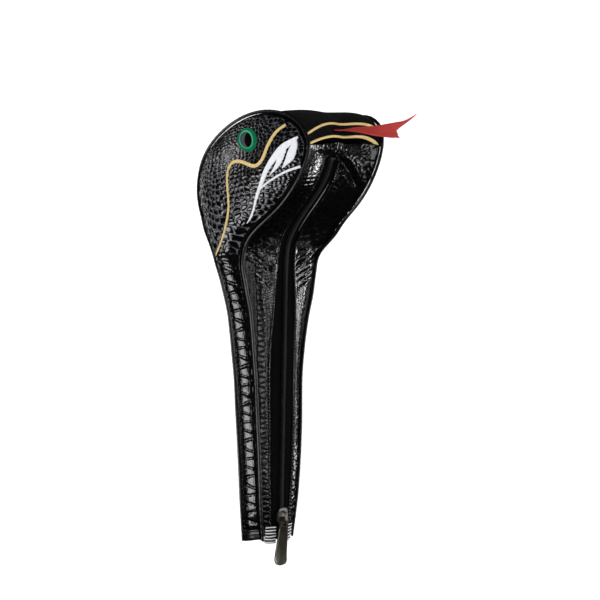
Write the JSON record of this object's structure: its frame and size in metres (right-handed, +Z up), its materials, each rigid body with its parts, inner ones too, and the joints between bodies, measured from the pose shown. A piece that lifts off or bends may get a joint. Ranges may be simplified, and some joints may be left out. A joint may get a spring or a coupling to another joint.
{
  "type": "golf driver head cover",
  "caption": "Long-necked snake-head driver head cover: padded side panels, zippered front gusset, embroidered eyes and fangs, forked tongue.",
  "frame": {"origin": "centre of the neck opening in the hem plane, where the club's shaft leaves", "axes": "+Z up the neck to the crown, +X forward to the zipper, mouth and tongue, -Y the snake's right side"},
  "size_m": [0.215, 0.1294, 0.4218],
  "materials": {
    "snakeskin": "gloss black embossed scales",
    "crown_fabric": "matte black",
    "piping": "semi-gloss black",
    "foam": "open-cell foam",
    "lining": "brushed fleece",
    "hem_tape": "woven binding",
    "elastic": "ribbed elastic",
    "zipper_tape": "woven",
    "zipper_coil": "nylon coil",
    "green_thread": "satin stitch",
    "black_thread": "satin stitch",
    "gold_thread": "satin stitch",
    "white_thread": "satin stitch",
    "tongue_leather": "smooth red",
    "nickel": "polished nickel",
    "gunmetal": "dark nickel"
  },
  "bodies": {
    "cover": {"right_side_panel": "snakeskin", "left_side_panel": "snakeskin", "right_foam_pad": "foam", "left_foam_pad": "foam", "right_lining": "lining", "left_lining": "lining", "right_piping": "piping", "left_piping": "piping", "right_hem_band": "hem_tape", "left_hem_band": "hem_tape", "right_front_gusset": "snakeskin", "left_front_gusset": "snakeskin", "right_hem_elastic": "elastic", "left_hem_elastic": "elastic", "right_zipper_tape": "zipper_tape", "left_zipper_tape": "zipper_tape", "right_zipper_coil": "zipper_coil", "left_zipper_coil": "zipper_coil", "right_eye_ring": "green_thread", "left_eye_ring": "green_thread", "right_eye_pupil": "black_thread", "left_eye_pupil": "black_thread", "right_gold_line": "gold_thread", "left_gold_line": "gold_thread", "right_fang": "white_thread", "left_fang": "white_thread", "mouth_panel": "crown_fabric", "crown_gusset": "crown_fabric", "back_gusset": "snakeskin", "crown_lining": "lining", "back_lining": "lining", "back_hem_band": "hem_tape", "lower_lip_cord": "gold_thread", "upper_lip_cord": "gold_thread", "zipper_bottom_stop": "nickel", "zipper_top_stop": "gunmetal"},
    "slider": {"slider_body": "nickel", "slider_bridge": "nickel"},
    "pull": {"zipper_pull": "gunmetal"},
    "tongue": {"tongue": "tongue_leather"}
  },
  "joints": [
    {"name": "slider_travel", "type": "slide", "parent": "cover", "child": "slider", "axis": [0.0265, 0, 0.9996], "range_m": [0, 0.205]},
    {"name": "pull_swing", "type": "hinge", "parent": "slider", "child": "pull", "pos_m": [0.02094, 0, 0.02049], "axis": [0, -1, 0], "range_deg": [0, 150]},
    {"name": "tongue_flex", "type": "hinge", "parent": "cover", "child": "tongue", "pos_m": [0.0928, 0.0004, 0.376], "axis": [0, -1, 0], "range_deg": [-20, 20], "stiffness_Nm_per_rad": 0.05}
  ]
}
